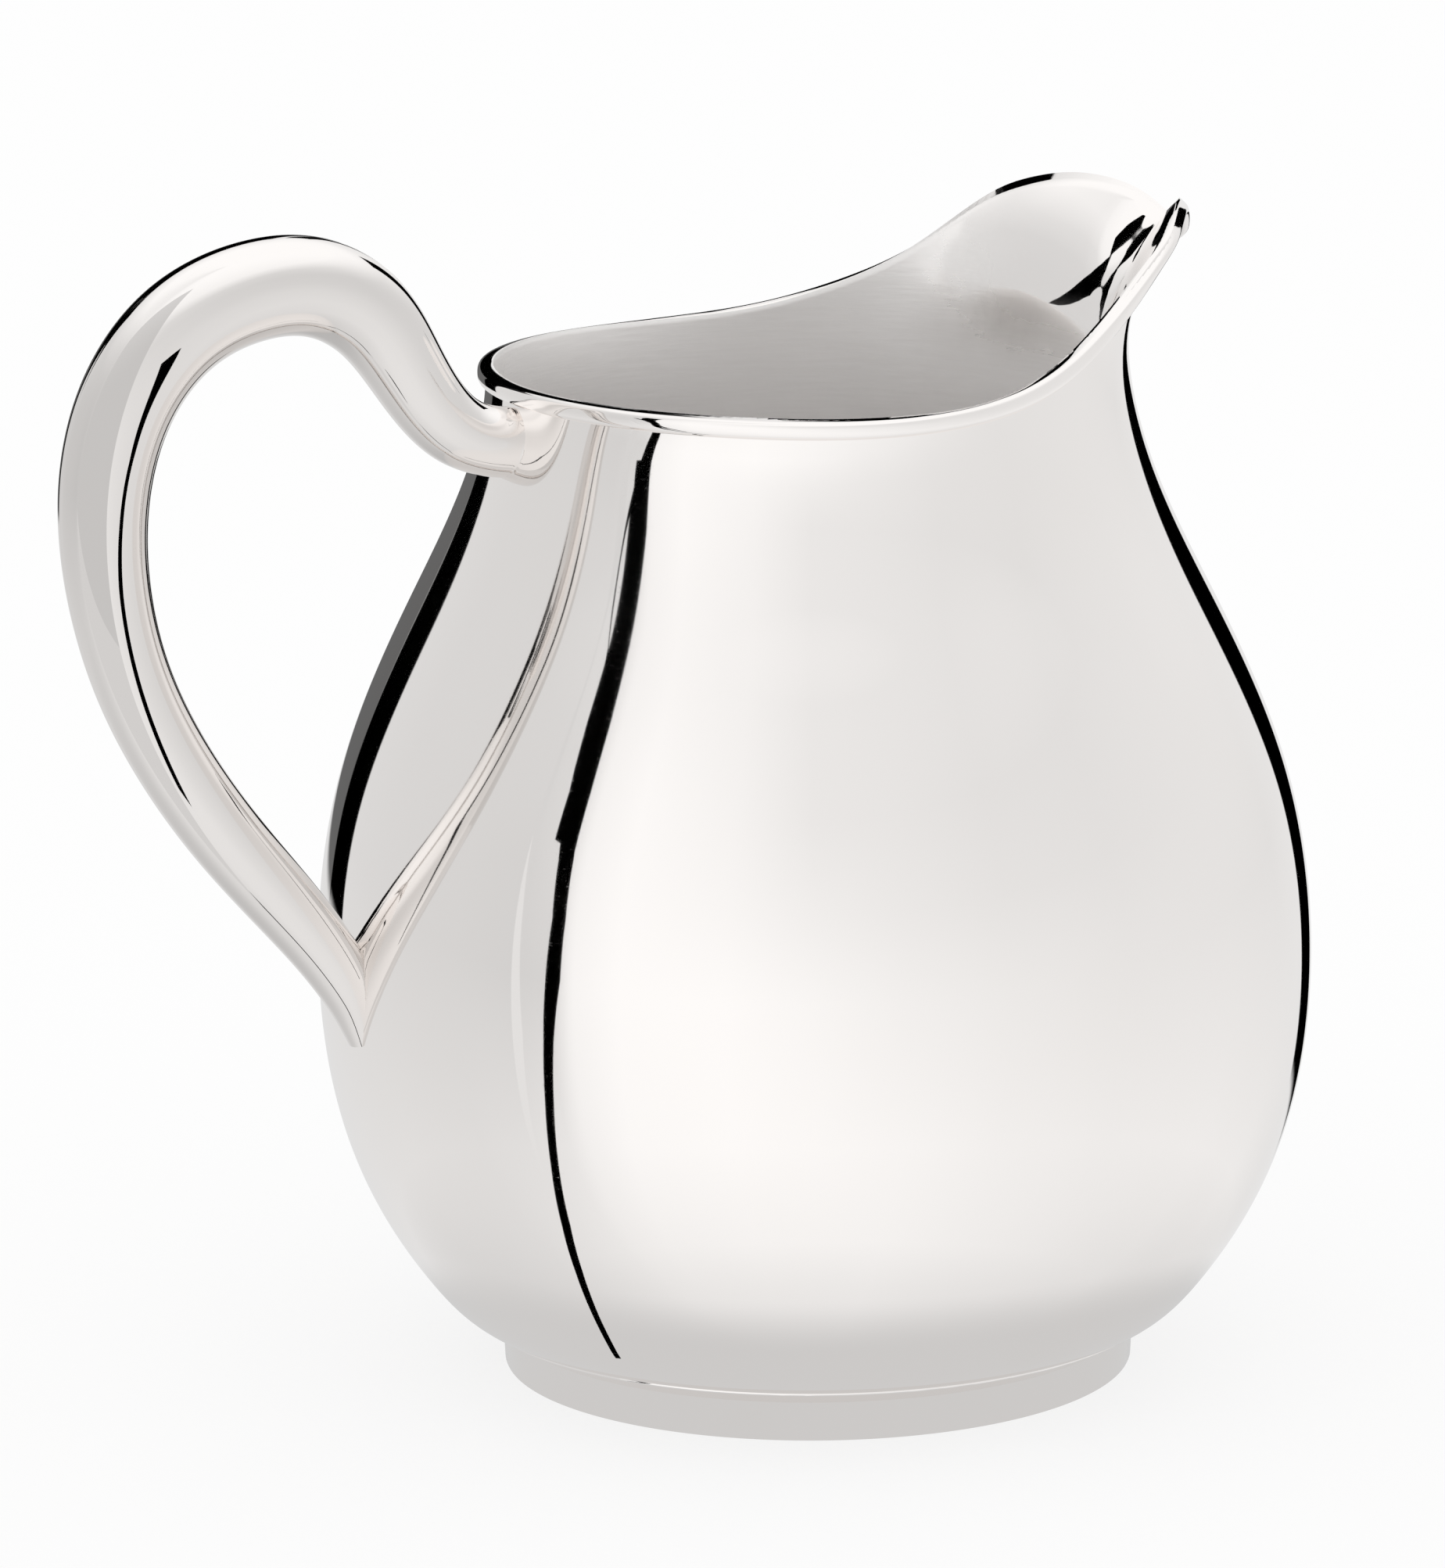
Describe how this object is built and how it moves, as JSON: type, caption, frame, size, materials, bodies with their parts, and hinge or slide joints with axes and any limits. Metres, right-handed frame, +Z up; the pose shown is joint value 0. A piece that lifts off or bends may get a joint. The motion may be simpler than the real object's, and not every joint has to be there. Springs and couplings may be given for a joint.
{
  "type": "water pitcher",
  "caption": "Polished silver water pitcher with a round spun belly, a wide drawn spout edged with a wire, a hollow loop handle and a ring foot",
  "frame": {"origin": "middle of the foot ring's resting plane, on the axis of the round body", "axes": "+Z up along the body's axis, +X towards the spout, the handle on -X, +Y completing a right-handed frame"},
  "size_m": [0.2073, 0.16, 0.1904],
  "materials": {
    "silver_body": "polished outside, satin inside",
    "silver_fittings": "polished",
    "silver_handle": "polished"
  },
  "bodies": {
    "root": {"body_shell": "silver_body", "rim_wire": "silver_fittings", "foot_ring": "silver_fittings", "handle_left_half": "silver_handle", "handle_right_half": "silver_handle"}
  },
  "joints": []
}
